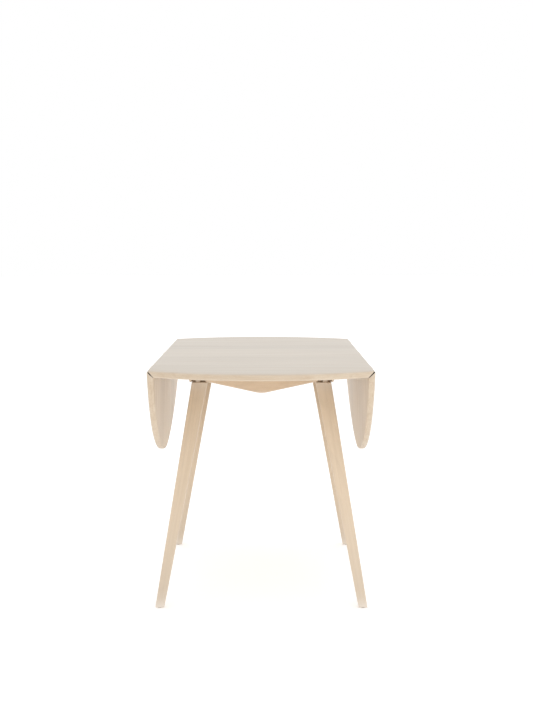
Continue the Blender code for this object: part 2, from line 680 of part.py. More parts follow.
def build_top_brackets():
    """Four steel angles that hold the top to the side rails, with one screw each way."""
    size, plate = BRACKET_SIZE, BRACKET_PLATE
    section = [(FIT, -FIT), (FIT, -size), (FIT + plate, -size), (FIT + plate, -FIT - plate),
               (size, -FIT - plate), (size, -FIT)]
    reach = BRACKET_SCREW
    for number, place in enumerate(bracket_frames(), start=1):
        angle = outline_mesh("angle", [section], BRACKET_WIDTH, place @ XZ_PLANE)
        bracket = link(f"top_bracket_{number}", angle, STEEL)
        up = place @ aim((reach, 0, -FIT - plate), (0, 0, 1))
        across = place @ aim((FIT + plate, 0, -reach), (-1, 0, 0))
        drill(bracket, [up, across], LONG_SCREW)


def build_table():
    build_top()
    number = 1
    for sy, end in ((-1, "front"), (1, "rear")):
        for sx, hand in ((-1, "left"), (1, "right")):
            build_leg(f"leg_{end}_{hand}", sx, sy, number)
            number += 1
    build_aprons()
    build_rails()
    build_rail_bolts()
    build_top_brackets()
    for side_name, turn in (("right", 0.0), ("left", pi)):
        frame = empty(f"side_frame_{side_name}", (0, 0, 0), turn_z=turn)
        pivot = empty(f"leaf_pivot_{side_name}", (PIN_X, 0, PIN_Z), LEAF_SWING, frame)
        build_leaf(f"leaf_{side_name}", pivot)
        build_hinges(side_name, frame, pivot)
        build_track(side_name, frame)
        slider_place = build_slider(side_name, frame)
        build_arm(side_name, slider_place)
        build_leaf_bracket(side_name, pivot)


build_table()
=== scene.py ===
"""Looks of the drop leaf table: fine boards, legs and aprons in pale washed wood, and its
metal fittings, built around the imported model.  Metres, +Z up, leaves at -X and +X."""

import json
from math import acos, cos, pi, radians, sin, sqrt

import bpy
import bmesh
from mathutils import Matrix, Vector


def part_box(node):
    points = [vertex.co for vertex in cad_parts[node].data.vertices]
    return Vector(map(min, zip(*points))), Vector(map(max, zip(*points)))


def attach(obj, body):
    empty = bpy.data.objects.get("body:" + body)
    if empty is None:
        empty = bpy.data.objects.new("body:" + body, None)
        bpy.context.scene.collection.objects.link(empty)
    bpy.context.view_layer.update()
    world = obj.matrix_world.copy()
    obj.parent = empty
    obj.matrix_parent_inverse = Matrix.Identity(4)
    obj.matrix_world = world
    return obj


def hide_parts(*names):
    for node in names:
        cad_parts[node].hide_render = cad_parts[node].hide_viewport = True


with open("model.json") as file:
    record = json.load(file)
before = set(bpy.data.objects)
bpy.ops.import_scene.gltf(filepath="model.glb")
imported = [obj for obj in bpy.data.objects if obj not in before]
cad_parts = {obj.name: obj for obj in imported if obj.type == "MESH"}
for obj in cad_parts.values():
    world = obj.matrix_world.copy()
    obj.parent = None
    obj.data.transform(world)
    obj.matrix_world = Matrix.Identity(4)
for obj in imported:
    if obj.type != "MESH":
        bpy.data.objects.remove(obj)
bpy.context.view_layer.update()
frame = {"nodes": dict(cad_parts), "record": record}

# ---------------------------------------------------------------- places read from the frame
JOINTS = {joint["name"]: joint for joint in frame["record"]["behaviour"]["joints"]}
HINGE = JOINTS["leaf_right_hinge"]
PIN_X, PIN_Z = HINGE["pos_m"][0], HINGE["pos_m"][2]
LEAF_SWING = radians(HINGE["range_deg"][1])

TOP_LOW, TOP_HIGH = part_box("table_top")
TOP_HEIGHT = TOP_HIGH[2]
UNDERSIDE = TOP_LOW[2]
BOARD = TOP_HEIGHT - UNDERSIDE
HALF_LENGTH = TOP_HIGH[1]
MITRE_X = TOP_HIGH[0]                   # upper edge of the top's mitre

# ---------------------------------------------------------------- sizes the boxes can't give
HALF_REACH = 0.615                      # centre line to the rim of a raised leaf
RIM_POWER = 2.12                        # the oval: (x / reach)^power + (y / length)^root = 1
RIM_ROOT = 1.70
FIT = 0.0003                            # gap between touching pieces
RAISED_GAP = 0.0005
MITRE_ARRIS = 0.0003
MITRE_SHADE_TONE = 0.03                       # painted shade: the mitre faces are made nearly black for the shadow deep in the joint's gap
UNDER_BOUNCE_WASH = 0.25                       # film of wash under the boards, partly painted light bounced up from the floor
LEG_BOUNCE_WASH = 0.66                         # painted light from the floor: a pale film of wash at the foot, fading to none at the top
RIM_TOP = 0.0048                        # rounding of the rim's upper and lower edges
RIM_UNDER = 0.0050

LEG_OUTER = (0.3103, -0.1565)           # x of the outer face: at the floor, slope with height
LEG_INNER = (0.2845, -0.1890)
LEG_END = (0.3330, -0.1620)             # y of the face at the table's end
LEG_DEPTH = (0.0250, 0.0140)
LEG_SOFT = 0.0018                       # rounding along the leg
LEG_END_SOFT = 0.0008
TENON_X = (0.1840, 0.1975)
TENON_Y = (0.2030, 0.2190)
TENON_TOP = 0.6800

APRON_CHAMFER = (0.0030, 0.0040)
APRON_LOW = 0.6490
HOUSING_X = (0.1675, 0.2100)
HOUSING_BACK = 0.2070
HOUSING_TOP = 0.6575
VEE_HALF = 0.1590
VEE_TIP = 0.6147
VEE_ROUND = 0.0180
APRON_SOFT = 0.0016

EDGE_WIDTHS = (("hinge", 0.00012), ("stay_track", 0.00025), ("stay", 0.00045),
               ("leaf_bracket", 0.00040), ("top_bracket", 0.00045), ("foot_glide", 0.00035),
               ("", 0.00020))           # rounded edges of the fittings, by name

HINGE_Y = (-0.380, 0.0, 0.380)
HINGE_SCREW_Y = 0.0200
HINGE_SCREW_REACH = 0.0105
PLATE_FACE = 0.00040
TRACK_WALL = 0.0012
TRACK_SCREW = 0.0140
FOOT_DEPTH = 0.0023                     # the leaf bracket's face under the leaf
FOOT_SCREW_X = (0.0360, 0.0560)
FOOT_SCREW_Y = 0.0125
BRACKET_PLATE = 0.0020
BRACKET_SCREW = 0.0133
SCREW_HEAD, SCREW_DEPTH = 0.0028, 0.0009
LONG_SCREW_HEAD, LONG_SCREW_DEPTH = 0.0037, 0.0013

STAVE = 0.115                           # width of the glued staves in the top
SEAM_HALF = 0.0004
PITH_ASIDE, PITH_BELOW = 0.045, 0.110   # middle of the growth rings, beside and under
RING_SWAY = 0.040
RINGS_PER_METRE = 165.0
WASH_GREY = 0.86                        # grey that the wash leaves in pores; on edges it is also a painted highlight where the arrises catch light

LEG_PAINTED_SHADE = 0.13                        # painted shade: darkening of a leg towards both ends, strongest under the table top
# painted shade: a little more darkening towards the foot
FOOT_PAINTED_SHADE = 0.03
SIDE_SHADE = 0.02                       # the right legs are paler, the left ones darker

CAMERA_PLACE = (0.0150, -3.333, 1.066)
CAMERA_TILT = 0.050                     # below the level, in radians
CAMERA_LENS = 52.9                      # millimetres
CAMERA_SHIFT = -0.085
LIGHT_PLACE, LIGHT_TARGET = (1.2, -3.0, 1.0), (0.1, 0.0, 0.42)
LIGHT_SIZE = (1.6, 1.4)
LIGHT_POWER = 8.0
FLOOR_RADIUS = 30.0
FLOOR_GREY, FLOOR_GLOW = 0.88, 0.32
WHITE = (1.0, 1.0, 1.0, 1.0)

XZ_PLANE = Matrix.Rotation(pi / 2, 4, "X")


# ---------------------------------------------------------------- camera, light and floor
def srgb(red, green, blue):
    """Linear colour of an 8-bit display colour."""
    def linear(value):
        value /= 255
        return value / 12.92 if value <= 0.04045 else ((value + 0.055) / 1.055) ** 2.4
    return (linear(red), linear(green), linear(blue))


def make_camera():
    data = bpy.data.cameras.new("camera")
    data.sensor_width = 36.0
    data.lens = CAMERA_LENS
    data.shift_y = CAMERA_SHIFT
    camera = bpy.data.objects.new("camera", data)
    bpy.context.scene.collection.objects.link(camera)
    camera.location = CAMERA_PLACE
    camera.rotation_euler = (pi / 2 - CAMERA_TILT, 0.0, 0.0)
    bpy.context.scene.camera = camera


def area_light(name, location, target, size, power):
    data = bpy.data.lights.new(name, "AREA")
    data.shape = "RECTANGLE"
    data.size, data.size_y = size
    data.energy = power
    lamp = bpy.data.objects.new(name, data)
    bpy.context.scene.collection.objects.link(lamp)
    lamp.location = location
    aim = Vector(target) - Vector(location)
    lamp.rotation_euler = aim.to_track_quat("-Z", "Y").to_euler()


def make_studio():
    world = bpy.data.worlds.new("studio")
    world.use_nodes = True
    background = world.node_tree.nodes["Background"]
    background.inputs["Color"].default_value = WHITE
    background.inputs["Strength"].default_value = 1.0
    bpy.context.scene.world = world
    bpy.context.scene.view_settings.view_transform = "Standard"
    area_light("soft_front", LIGHT_PLACE, LIGHT_TARGET, LIGHT_SIZE, LIGHT_POWER)

    floor_mesh = bpy.data.meshes.new("floor")
    bm = bmesh.new()
    bmesh.ops.create_circle(bm, cap_ends=True, segments=96, radius=FLOOR_RADIUS)
    bm.to_mesh(floor_mesh)
    bm.free()
    floor = bpy.data.objects.new("floor", floor_mesh)
    bpy.context.scene.collection.objects.link(floor)
    paint = bpy.data.materials.new("floor_paint")
    paint.use_nodes = True
    shader = paint.node_tree.nodes["Principled BSDF"]
    shader.inputs["Base Color"].default_value = (FLOOR_GREY, FLOOR_GREY, FLOOR_GREY, 1.0)
    shader.inputs["Roughness"].default_value = 0.9
    shader.inputs["Specular IOR Level"].default_value = 0.1
    shader.inputs["Emission Color"].default_value = WHITE
    shader.inputs["Emission Strength"].default_value = FLOOR_GLOW
    floor_mesh.materials.append(paint)


# ---------------------------------------------------------------- material helpers
class Graph:
    """Short names for the nodes of one material."""

    def __init__(self, name):
        self.material = bpy.data.materials.new(name)
        self.material.use_nodes = True
        self.tree = self.material.node_tree
        self.shader = self.tree.nodes["Principled BSDF"]

    def add(self, kind, inputs=(), **settings):
        made = self.tree.nodes.new(kind)
        for key, value in settings.items():
            setattr(made, key, value)
        for key, value in dict(inputs).items():
            self.put(made.inputs[key], value)
        return made

    def put(self, socket, value):
        if isinstance(value, bpy.types.NodeSocket):
            self.tree.links.new(value, socket)
        else:
            socket.default_value = value

    def math(self, operation, first, second=0.0, third=None):
        made = self.add("ShaderNodeMath", operation=operation)
        self.put(made.inputs[0], first)
        self.put(made.inputs[1], second)
        if third is not None:
            self.put(made.inputs[2], third)
        return made.outputs[0]

    def join(self, x, y, z):
        return self.add("ShaderNodeCombineXYZ", {"X": x, "Y": y, "Z": z}).outputs[0]

    def noise(self, vector, scale, detail=2.0, rough=0.5, distort=0.0):
        made = self.add("ShaderNodeTexNoise", {"Vector": vector, "Scale": scale,
                                               "Detail": detail, "Roughness": rough,
                                               "Distortion": distort})
        return made.outputs["Fac"]

    def ramp(self, value, stops):
        """Grey ramp; stops are (place, grey)."""
        made = self.add("ShaderNodeValToRGB", {"Fac": value})
        points = made.color_ramp.elements
        while len(points) < len(stops):
            points.new(0.5)
        for point, (place, grey) in zip(points, stops):
            point.position = place
            point.color = (grey, grey, grey, 1.0)
        return made.outputs["Color"]

    def mix(self, kind, factor, first, second):
        made = self.add("ShaderNodeMix", data_type="RGBA", blend_type=kind)
        self.put(made.inputs["Factor"], factor)
        self.put(made.inputs[6], first)
        self.put(made.inputs[7], second)
        return made.outputs[2]

    def bump(self, height, strength, distance):
        return self.add("ShaderNodeBump", {"Height": height, "Strength": strength,
                                           "Distance": distance}).outputs[0]

    def surface(self, **inputs):
        for key, value in inputs.items():
            self.put(self.shader.inputs[key.replace("_", " ")], value)


# ---------------------------------------------------------------- washed wood
def rim_fade(g, x, y):
    """One on the middle of the boards, falling towards the oval rim where the wash is thin."""
    across = g.math("POWER", g.math("DIVIDE", g.math("ABSOLUTE", x), HALF_REACH), RIM_POWER)
    along = g.math("POWER", g.math("DIVIDE", g.math("ABSOLUTE", y), HALF_LENGTH), RIM_ROOT)
    return g.ramp(g.math("ADD", across, along), [(0.86, 1.0), (0.995, 0.60)])


def attribute_parts(g, name):
    """The three parts of a vertex attribute."""
    source = g.add("ShaderNodeAttribute", attribute_name=name).outputs["Vector"]
    return g.add("ShaderNodeSeparateXYZ", {"Vector": source}).outputs


def stretched(g, place, slow, fast):
    """The place scaled by slow along the grain and by fast across it."""
    along, across, depth = place
    return g.join(g.math("MULTIPLY", along, slow), g.math("MULTIPLY", across, fast),
                  g.math("MULTIPLY", depth, fast))


def split_staves(g, across, stave):
    """Number of each glued stave, the place inside it, and the seams between staves."""
    place = g.math("DIVIDE", across, stave)
    index = g.math("FLOOR", place)
    inside = g.math("MULTIPLY", g.math("SUBTRACT", place, index), stave)
    off_middle = g.math("ABSOLUTE", g.math("SUBTRACT", inside, stave / 2))
    return index, inside, g.math("GREATER_THAN", off_middle, stave / 2 - SEAM_HALF)


def growth_rings(g, place):
    """Rings round a pith outside the board, bent by a slow sway."""
    sway = g.noise(stretched(g, place, 1.7, 7.0), 1.0, 2.0)
    aside = g.math("SUBTRACT", place[1], PITH_ASIDE)
    below = g.math("ADD", place[2], PITH_BELOW)
    radius = g.math("SQRT", g.math("ADD", g.math("POWER", aside, 2.0),
                                   g.math("POWER", below, 2.0)))
    radius = g.math("MULTIPLY_ADD", sway, RING_SWAY, radius)
    rings = g.math("FRACT", g.math("MULTIPLY", radius, RINGS_PER_METRE))
    return g.ramp(rings, [(0.0, 0.25), (0.62, 0.50), (0.88, 1.0), (1.0, 0.25)])


def washed_wood(name, pale, warm, seed, stave=None, figure=1.0, limed=None, edge_wear_and_highlight=0.7):
    """Pale washed hardwood.  The grain runs along the first part of the grain attribute.

    The vertex attribute set by dress holds the film of limed wash, which is partly painted
    light: a sheen on faces that look up, and bounce from the floor on faces that look down
    and towards a leg's foot; the tone, which also carries painted shade in the mitre joints
    and at the ends of the legs; and how far a face looks down, where the wood is painted a
    little paler for the light bounced up from the floor.
    """
    g = Graph(name)
    film_and_light_share, tone_and_shade, downward = attribute_parts(g, "finish_and_light")
    along, across, depth = attribute_parts(g, "grain")
    if stave:
        film_and_light_share = g.math("MULTIPLY", film_and_light_share, rim_fade(g, along, across))
        index, inside, seam = split_staves(g, across, stave)
    else:
        index, inside, seam = 0.0, across, None
    chance = g.add("ShaderNodeTexWhiteNoise", {"W": g.math("ADD", index, seed)},
                   noise_dimensions="1D")
    dice = g.add("ShaderNodeSeparateColor", {"Color": chance.outputs["Color"]}).outputs
    place = (g.math("MULTIPLY_ADD", dice[0], 9.0, along),
             g.math("MULTIPLY_ADD", dice[1], 0.05, inside),
             g.math("MULTIPLY_ADD", dice[2], -0.08, depth))

    rings = growth_rings(g, place)
    streaks = g.noise(stretched(g, place, 2.2, 75.0), 1.0, 4.0, 0.55, 0.6)
    fibre = g.noise(stretched(g, place, 22.0, 850.0), 1.0, 3.0, 0.6)
    clouds = g.noise(stretched(g, place, 3.5, 9.0), 1.0, 3.0)
    pores = g.add("ShaderNodeTexVoronoi", {"Vector": stretched(g, place, 60.0, 620.0),
                                           "Scale": 1.0, "Randomness": 1.0})
    pores = g.ramp(pores.outputs["Distance"], [(0.10, 1.0), (0.24, 0.0)])

    base = g.mix("MIX", g.ramp(streaks, [(0.30, 0.0), (0.72, 1.0)]), (*pale, 1), (*warm, 1))
    ring_dark = tuple(channel * 0.80 for channel in warm)
    ring_share = g.math("MULTIPLY", g.ramp(rings, [(0.35, 0.0), (1.0, 0.34 * figure)]),
                        g.math("ADD", clouds, 0.25))
    base = g.mix("MIX", ring_share, base, (*ring_dark, 1))
    base = g.mix("MIX", g.ramp(clouds, [(0.35, 0.0), (0.75, 0.38)]), base, (*pale, 1))
    base = g.mix("MULTIPLY", 0.30 * figure, base, g.ramp(fibre, [(0.30, 0.72), (0.65, 1.0)]))
    wash = tuple(0.4 * channel + 0.6 * WASH_GREY for channel in pale)
    base = g.mix("MIX", g.math("MULTIPLY", pores, 0.30), base, (*wash, 1))
    if limed:
        film = g.mix("MIX", g.ramp(clouds, [(0.30, 0.0), (0.75, 1.0)]), (*limed, 1),
                     (*(channel * 1.05 for channel in limed), 1))
        cover = g.math("MULTIPLY", film_and_light_share, g.math("MULTIPLY_ADD", streaks, -0.35, 0.92))
        base = g.mix("MIX", cover, base, film)
    tone = g.math("MULTIPLY", tone_and_shade, g.math("MULTIPLY_ADD", dice[0], 0.07, 0.965))
    # painted floor bounce: faces that look down are made a little paler
    tone = g.math("MULTIPLY", tone, g.math("MULTIPLY_ADD", downward, 0.07, 1.0))
    base = g.mix("MULTIPLY", 1.0, base, g.join(tone, tone, tone))
    if seam is not None:
        seam_share = g.math("MULTIPLY_ADD", downward, 0.45, 0.18)
        base = g.mix("MULTIPLY", g.math("MULTIPLY", seam, seam_share), base,
                     (0.62, 0.50, 0.38, 1))
    # edge wear and painted highlight: convex edges turn towards the pale wash colour, partly
    # real rubbing, partly the light the arrises catch
    worn_and_lit_edge = g.ramp(g.add("ShaderNodeNewGeometry").outputs["Pointiness"],
                  [(0.503, 0.0), (0.545, edge_wear_and_highlight)])
    # the nearly black mitre faces of painted shade get no edge wear and no specular
    outside = g.ramp(tone_and_shade, [(0.3, 0.0), (0.7, 1.0)])
    base = g.mix("MIX", g.math("MULTIPLY", worn_and_lit_edge, outside), base, (*wash, 1))

    height = g.math("MULTIPLY_ADD", fibre, 0.7, g.math("MULTIPLY", pores, -0.5))
    height = g.math("MULTIPLY_ADD", rings, 0.25, height)
    g.surface(Base_Color=base, Normal=g.bump(height, 0.22, 0.0003),
              Specular_IOR_Level=g.math("MULTIPLY", outside, 0.5),
              Roughness=g.math("MULTIPLY_ADD", streaks, 0.16, 0.36))
    return g.material


# ---------------------------------------------------------------- metal and plastic
def brushed_metal(name, colour, dark, direction, roughness):
    """Rolled metal: fine lines along one axis, faint stains and rubbed edges."""
    g = Graph(name)
    place = g.add("ShaderNodeTexCoord").outputs["Object"]
    stretch = tuple(40.0 if axis == direction else 2400.0 for axis in "XYZ")
    lines = g.noise(g.add("ShaderNodeMapping", {"Vector": place, "Scale": stretch}).outputs[0],
                    1.0, 3.0, 0.6)
    stains = g.noise(place, 160.0, 4.0, 0.6)
    base = g.mix("MIX", g.ramp(stains, [(0.42, 0.0), (0.70, 0.75)]), (*colour, 1), (*dark, 1))
    base = g.mix("MULTIPLY", 0.25, base, g.ramp(lines, [(0.3, 0.7), (0.7, 1.0)]))
    rubbed = g.ramp(g.add("ShaderNodeNewGeometry").outputs["Pointiness"],
                    [(0.52, 0.0), (0.60, 0.6)])
    base = g.mix("MIX", rubbed, base, tuple(min(1.0, c * 1.25) for c in colour) + (1,))
    g.surface(Base_Color=base, Metallic=1.0, Normal=g.bump(lines, 0.15, 0.0001),
              Roughness=g.math("MULTIPLY_ADD", stains, 0.22, roughness))
    return g.material


def moulded_plastic(name, colour):
    g = Graph(name)
    place = g.add("ShaderNodeTexCoord").outputs["Object"]
    grit = g.noise(place, 2200.0, 2.0)
    dust = g.noise(place, 240.0, 4.0, 0.65)
    dusty = tuple(0.6 * c + 0.22 for c in colour)
    g.surface(Base_Color=g.mix("MIX", g.ramp(dust, [(0.45, 0.0), (0.75, 0.7)]),
                               (*colour, 1), (*dusty, 1)),
              Normal=g.bump(grit, 0.25, 0.0001),
              Roughness=g.math("MULTIPLY_ADD", dust, 0.2, 0.5))
    return g.material


# ---------------------------------------------------------------- mesh helpers
def outline_mesh(outline, thickness, place):
    """Extrude a closed 2D outline evenly to both sides of its plane."""
    bm = bmesh.new()
    verts = [bm.verts.new((x, y, -thickness / 2)) for x, y in outline]
    face = bm.faces.new(verts)
    grown = bmesh.ops.extrude_face_region(bm, geom=[face])["geom"]
    up = [item for item in grown if isinstance(item, bmesh.types.BMVert)]
    bmesh.ops.translate(bm, verts=up, vec=(0, 0, thickness))
    bmesh.ops.transform(bm, matrix=place, verts=bm.verts)
    bmesh.ops.recalc_face_normals(bm, faces=bm.faces)
    mesh = bpy.data.meshes.new("outline")
    bm.to_mesh(mesh)
    bm.free()
    return mesh


def box_mesh(xs, ys, zs):
    """Box between two values on each axis."""
    outline = [(xs[0], ys[0]), (xs[1], ys[0]), (xs[1], ys[1]), (xs[0], ys[1])]
    return outline_mesh(outline, zs[1] - zs[0], Matrix.Translation((0, 0, sum(zs) / 2)))


def mirrored(sign, span, grow=0.0):
    """A span on one side of a mirror plane, sorted, and grown at both ends."""
    return sorted((sign * (span[0] - grow), sign * (span[1] + grow)))


def add_object(name, mesh, hidden=False):
    mesh.name = name
    made = bpy.data.objects.new(name, mesh)
    bpy.context.scene.collection.objects.link(made)
    made.hide_render = hidden
    return made


def boolean(target, mesh, operation="DIFFERENCE"):
    guide = add_object("guide", mesh, hidden=True)
    change = target.modifiers.new("change", "BOOLEAN")
    change.object = guide
    change.operation = operation
    apply_modifiers(target)
    bpy.data.objects.remove(guide, do_unlink=True)


def soften(target, width, segments=4, limit=30.0):
    bevel = target.modifiers.new("soft", "BEVEL")
    bevel.width = width
    bevel.segments = segments
    bevel.limit_method = "ANGLE"
    bevel.angle_limit = radians(limit)
    bevel.harden_normals = False
    apply_modifiers(target)


def apply_modifiers(target):
    graph = bpy.context.evaluated_depsgraph_get()
    mesh = bpy.data.meshes.new_from_object(target.evaluated_get(graph))
    old = target.data
    target.modifiers.clear()
    target.data = mesh
    bpy.data.meshes.remove(old)


def dress(target, material, body, grain=None, replaces=None, sharp=50.0, look=None):
    """Grain places, smooth shading, material, and what the piece rides on.

    look gives the film of wash, the tone and the downward share for each vertex; these also
    carry painted light and shade.
    """
    mesh = target.data
    if grain:
        places = mesh.attributes.new("grain", "FLOAT_VECTOR", "POINT")
        finish_and_light = mesh.attributes.new("finish_and_light", "FLOAT_VECTOR", "POINT")
        for vert, place, value in zip(mesh.vertices, places.data, finish_and_light.data):
            place.vector = grain(vert.co)
            value.vector = look(vert) if look else (0.0, 1.0, 0.0)
    mesh.materials.clear()
    mesh.materials.append(material)
    mesh.shade_smooth()
    mesh.set_sharp_from_angle(angle=radians(sharp))
    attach(target, body)
    if replaces:
        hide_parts(replaces)


# ---------------------------------------------------------------- boards
def board_look(raised=Matrix.Identity(4)):
    """Look of a board's vertices; raised takes a hanging leaf back to level."""
    def look(vert):
        normal = raised.to_3x3() @ vert.normal
        near_joint = abs((raised @ vert.co).x) < MITRE_X + 2 * BOARD
        in_joint = near_joint and normal.z < -0.6 and abs(normal.x) > 0.6
        downward = max(0.0, -normal.z)
        # painted sheen and floor bounce: faces that look up get the film, partly real wash and
        # partly the whitish reflection of the surroundings; faces that look down get a thinner
        # film for the light bounced up from the floor
        film = min(1.0, max(0.0, (normal.z - 0.45) / 0.5) + UNDER_BOUNCE_WASH * downward)
        # painted shade: the mitre faces inside the joint are made nearly black
        return (film, MITRE_SHADE_TONE if in_joint else 1.0, downward)
    return look


def rim_y(x):
    """Y of the oval rim at a distance x from the centre line."""
    return HALF_LENGTH * (1.0 - abs(x / HALF_REACH) ** RIM_POWER) ** (1 / RIM_ROOT)


def rim_point(turn):
    """Point of the oval rim on the right, for a turn between -90 and +90 degrees."""
    y = HALF_LENGTH * abs(sin(turn)) ** (2 / RIM_ROOT)
    return (HALF_REACH * cos(turn) ** (2 / RIM_POWER), y if turn > 0 else -y)


def on_rim(co):
    return abs(abs(co.x / HALF_REACH) ** RIM_POWER
               + abs(co.y / HALF_LENGTH) ** RIM_ROOT - 1) < 2e-4


def board(name, outline):
    """Board with a full soft rim: a small round above and a wider one below."""
    mesh = outline_mesh(outline, BOARD, Matrix.Translation((0, 0, TOP_HEIGHT - BOARD / 2)))
    bm = bmesh.new()
    bm.from_mesh(mesh)
    bpy.data.meshes.remove(mesh)
    for height, width, steps in ((TOP_HEIGHT, RIM_TOP, 5), (UNDERSIDE, RIM_UNDER, 7)):
        edges = [e for e in bm.edges
                 if all(abs(v.co.z - height) < 1e-6 and on_rim(v.co) for v in e.verts)]
        bmesh.ops.bevel(bm, geom=edges, offset=width, segments=steps, profile=0.5,
                        affect="EDGES")
    mesh = bpy.data.meshes.new(name)
    bm.to_mesh(mesh)
    bm.free()
    return add_object(name, mesh)


def mitre_wedge(edge_x, tilt):
    """Cutter whose slanted face passes through the board's upper edge at 45 degrees."""
    reach = 2 * BOARD
    low = edge_x - tilt * (BOARD + reach)
    points = [(low, UNDERSIDE - reach), (edge_x + tilt * reach, TOP_HEIGHT + reach),
              (low + tilt * 5 * BOARD, UNDERSIDE - reach)]
    return outline_mesh(points, 2.4 * HALF_LENGTH, XZ_PLANE)


def build_top(material):
    steps = 120
    xs = [MITRE_X * (2 * i / steps - 1) * 1.01 for i in range(steps + 1)]
    outline = [(x, -rim_y(x)) for x in xs] + [(x, rim_y(x)) for x in reversed(xs)]
    top = board("top_board", outline)
    for side in (-1, 1):
        boolean(top, mitre_wedge(side * MITRE_X, side))
    soften(top, MITRE_ARRIS, 2)
    dress(top, material, "base", lambda co: (co.x, co.y, co.z - TOP_HEIGHT),
          "table_top", 35.0, board_look())


def leaf_matrix(side):
    """From the raised right leaf to either hanging leaf."""
    pin = Matrix.Translation((PIN_X, 0, PIN_Z))
    turn = Matrix.Rotation(LEAF_SWING, 4, "Y")
    hand = Matrix.Rotation(0.0 if side == "right" else pi, 4, "Z")
    return hand @ pin @ turn @ pin.inverted()


def build_leaf(side, material):
    start = MITRE_X + RAISED_GAP
    spread = acos((start / HALF_REACH) ** (RIM_POWER / 2))
    steps = 180
    outline = [rim_point(spread * (2 * i / steps - 1)) for i in range(steps + 1)]
    leaf = board(f"leaf_board_{side}", outline)
    boolean(leaf, mitre_wedge(start, -1))
    soften(leaf, MITRE_ARRIS, 2)
    back = leaf_matrix(side)
    sign = 1 if side == "right" else -1
    leaf.data.transform(back)
    raised = back.inverted()

    def grain(co):
        flat = raised @ co
        return (sign * flat.x, sign * flat.y, flat.z - TOP_HEIGHT)

    dress(leaf, material, f"leaf_{side}", grain, f"leaf_{side}", 35.0,
          board_look(raised))


# ---------------------------------------------------------------- legs and frame
def at_height(rule, z):
    return rule[0] + rule[1] * z


def build_leg(node, sx, sy, material):
    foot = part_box(node)[0][2]
    shoulder = APRON_LOW - FIT
    bm = bmesh.new()
    bmesh.ops.create_cube(bm, size=1.0)
    uprights = [e for e in bm.edges if abs(e.verts[0].co.z - e.verts[1].co.z) > 0.5]
    bmesh.ops.subdivide_edges(bm, edges=uprights, cuts=23, use_grid_fill=True)
    for vert in bm.verts:
        z = foot + (shoulder - foot) * (vert.co.z + 0.5)
        x = at_height(LEG_OUTER if vert.co.x > 0 else LEG_INNER, z)
        y = at_height(LEG_END, z) - (0.0 if vert.co.y > 0 else at_height(LEG_DEPTH, z))
        vert.co = (sx * x, sy * y, z)
    bmesh.ops.recalc_face_normals(bm, faces=bm.faces)
    corners = [e for e in bm.edges if abs(e.verts[0].co.z - e.verts[1].co.z) > 1e-3]
    bmesh.ops.bevel(bm, geom=corners, offset=LEG_SOFT, segments=5, profile=0.5, affect="EDGES")
    mesh = bpy.data.meshes.new(node)
    bm.to_mesh(mesh)
    bm.free()
    leg = add_object("fine_" + node, mesh)
    soften(leg, LEG_END_SOFT, 2, 50.0)
    boolean(leg, box_mesh(mirrored(sx, TENON_X), mirrored(sy, TENON_Y),
                          (shoulder - 0.01, TENON_TOP)), "UNION")
    slope_x = (LEG_OUTER[1] + LEG_INNER[1]) / 2
    slope_y = LEG_END[1] - LEG_DEPTH[1] / 2
    foot_x = (LEG_OUTER[0] + LEG_INNER[0]) / 2
    foot_y = LEG_END[0] - LEG_DEPTH[0] / 2
    shift = 3.0 * sx + 1.3 * sy

    def grain(co):
        return (co.z + shift, sx * co.x - foot_x - slope_x * co.z + 0.05 * sx,
                sy * co.y - foot_y - slope_y * co.z + 0.03 * sy)

    def look(vert):
        rise = vert.co.z / shoulder
        # painted shade: the leg is darker towards both ends, most under the table top
        shade = 1 - LEG_PAINTED_SHADE * (2 * rise - 1) ** 2 - FOOT_PAINTED_SHADE * (1 - rise)
        # painted floor bounce: the film of wash grows towards the foot
        return (LEG_BOUNCE_WASH * (1 - rise), shade * (1 + SIDE_SHADE * sx), 0.0)

    dress(leg, material, "base", grain, node, look=look)


def apron_outline(top_z, half):
    slope = (APRON_LOW - VEE_TIP) / VEE_HALF
    crown = VEE_TIP + slope * VEE_ROUND / 2
    steps = 20
    tip = []
    for i in range(steps + 1):
        x = VEE_ROUND * (2 * i / steps - 1)
        tip.append((x, crown + slope * x * x / (2 * VEE_ROUND)))
    side, rise = APRON_CHAMFER
    return [(-half, top_z), (-half, APRON_LOW + rise), (-half + side, APRON_LOW),
            (-VEE_HALF, APRON_LOW), *tip, (VEE_HALF, APRON_LOW), (half - side, APRON_LOW),
            (half, APRON_LOW + rise), (half, top_z)]


def build_apron(node, material):
    low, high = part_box(node)
    middle = Matrix.Translation((0, (low[1] + high[1]) / 2, 0))
    apron = add_object("fine_" + node, outline_mesh(apron_outline(high[2], high[0]),
                                                    high[1] - low[1], middle @ XZ_PLANE))
    soften(apron, APRON_SOFT, 4)
    end = 1 if low[1] > 0 else -1
    for sx in (-1, 1):
        boolean(apron, box_mesh(mirrored(sx, TENON_X, FIT), mirrored(end, TENON_Y, FIT),
                                (APRON_LOW - 0.01, TENON_TOP + 0.001)))
        boolean(apron, box_mesh(mirrored(sx, HOUSING_X), mirrored(end, (HOUSING_BACK, 0.24)),
                                (APRON_LOW - 0.01, HOUSING_TOP)))
    shift = 2.0 if end > 0 else 0.0
    dress(apron, material, "base",
          lambda co: (co.x + shift, co.z - 0.62, co.y - low[1]), node)


def build_rail(node, material):
    low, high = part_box(node)
    rail = add_object("fine_" + node, box_mesh(*zip(low, high)))
    soften(rail, APRON_SOFT, 4)
    dress(rail, material, "base",
          lambda co: (co.y + 5.0, co.z - 0.6, co.x - low[0]), node)


